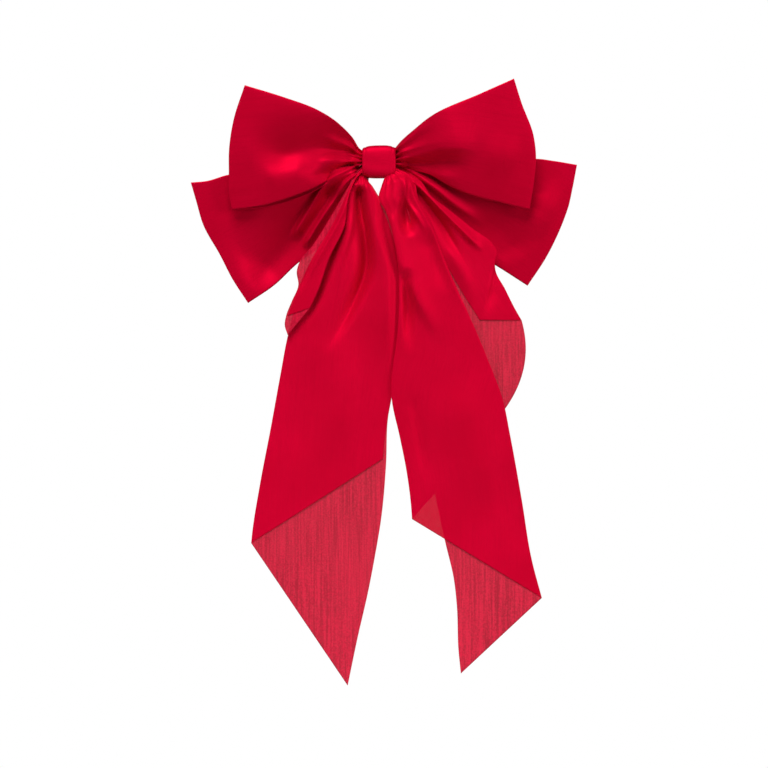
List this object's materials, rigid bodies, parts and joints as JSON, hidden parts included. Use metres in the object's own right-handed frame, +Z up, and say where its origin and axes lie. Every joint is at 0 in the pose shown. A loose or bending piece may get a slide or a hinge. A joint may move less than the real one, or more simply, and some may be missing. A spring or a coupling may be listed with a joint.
{
  "type": "hair bow",
  "caption": "Two-tier satin hair bow with long and short hanging tails, a gathered knot band and a hinged spring barrette behind it.",
  "frame": {"origin": "middle of the clip bar's hair-side face, where the clip holds the hair", "axes": "+Z up along the hanging tails' line, +Y out of the bar's hair-side face towards the head, -Y the bow's front, +X right as the front is seen"},
  "size_m": [0.2567, 0.049, 0.4019],
  "materials": {
    "satin": "satin face, matte back",
    "gathered_satin": "matte",
    "thread": "spun polyester",
    "clip_steel": "nickel plated",
    "fastener_steel": "turned"
  },
  "bodies": {
    "root": {"knot_wrap": "satin", "wrap_stitches": "thread", "waist_thread": "thread", "upper_waist": "gathered_satin", "tail_waist": "gathered_satin", "lower_waist": "gathered_satin", "clip_bar": "clip_steel", "hinge_pin": "fastener_steel", "catch_foot": "fastener_steel", "clip_rivets": "fastener_steel"},
    "clasp_arm": {"clasp_arm": "clip_steel"},
    "tension_leaf": {"tension_leaf": "clip_steel"},
    "upper_catch_prong": {"upper_catch_prong": "clip_steel"},
    "lower_catch_prong": {"lower_catch_prong": "clip_steel"},
    "upper_left_loop": {"upper_left_loop": "satin"},
    "upper_right_loop": {"upper_right_loop": "satin"},
    "lower_left_loop": {"lower_left_loop": "satin"},
    "lower_right_loop": {"lower_right_loop": "satin"},
    "left_tails": {"left_long_tail": "satin", "left_short_tail": "satin"},
    "right_short_tail": {"right_short_tail": "satin"},
    "right_long_tail": {"right_long_tail": "satin"}
  },
  "joints": [
    {"name": "clasp_arm_hinge", "type": "hinge", "parent": "root", "child": "clasp_arm", "pos_m": [-0.037, 0.0046, 0], "axis": [0, 0, 1], "range_deg": [0, 75]},
    {"name": "tension_leaf_press", "type": "hinge", "parent": "root", "child": "tension_leaf", "pos_m": [-0.0275, 0, 0], "axis": [0, 0, -1], "range_deg": [0, 2.2], "stiffness_Nm_per_rad": 0.2},
    {"name": "catch_squeeze_upper", "type": "hinge", "parent": "root", "child": "upper_catch_prong", "pos_m": [0.0335, 0.0008, 0.00155], "axis": [-1, 0, 0], "range_deg": [0, 8], "stiffness_Nm_per_rad": 0.05},
    {"name": "catch_squeeze_lower", "type": "hinge", "parent": "root", "child": "lower_catch_prong", "pos_m": [0.0335, 0.0008, -0.00155], "axis": [1, 0, 0], "range_deg": [0, 8], "stiffness_Nm_per_rad": 0.05},
    {"name": "upper_left_loop_fold", "type": "hinge", "parent": "root", "child": "upper_left_loop", "pos_m": [-0.014, -0.01195, 0], "axis": [0, 0, 1], "range_deg": [0, 30], "stiffness_Nm_per_rad": 0.002},
    {"name": "upper_right_loop_fold", "type": "hinge", "parent": "root", "child": "upper_right_loop", "pos_m": [0.014, -0.01195, 0], "axis": [0, 0, -1], "range_deg": [0, 30], "stiffness_Nm_per_rad": 0.002},
    {"name": "lower_left_loop_fold", "type": "hinge", "parent": "root", "child": "lower_left_loop", "pos_m": [-0.0133, -0.00595, 0], "axis": [0, 0, -1], "range_deg": [0, 8], "stiffness_Nm_per_rad": 0.002},
    {"name": "lower_right_loop_fold", "type": "hinge", "parent": "root", "child": "lower_right_loop", "pos_m": [0.0133, -0.00595, 0], "axis": [0, 0, 1], "range_deg": [0, 8], "stiffness_Nm_per_rad": 0.002},
    {"name": "left_tails_swing", "type": "hinge", "parent": "root", "child": "left_tails", "pos_m": [0, -0.014, -0.0132], "axis": [-1, 0, 0], "range_deg": [0, 60]},
    {"name": "right_short_tail_swing", "type": "hinge", "parent": "root", "child": "right_short_tail", "pos_m": [0, -0.01255, -0.0132], "axis": [-1, 0, 0], "range_deg": [0, 25]},
    {"name": "right_long_tail_swing", "type": "hinge", "parent": "right_short_tail", "child": "right_long_tail", "pos_m": [0, -0.01545, -0.0132], "axis": [-1, 0, 0], "range_deg": [0, 35]}
  ]
}
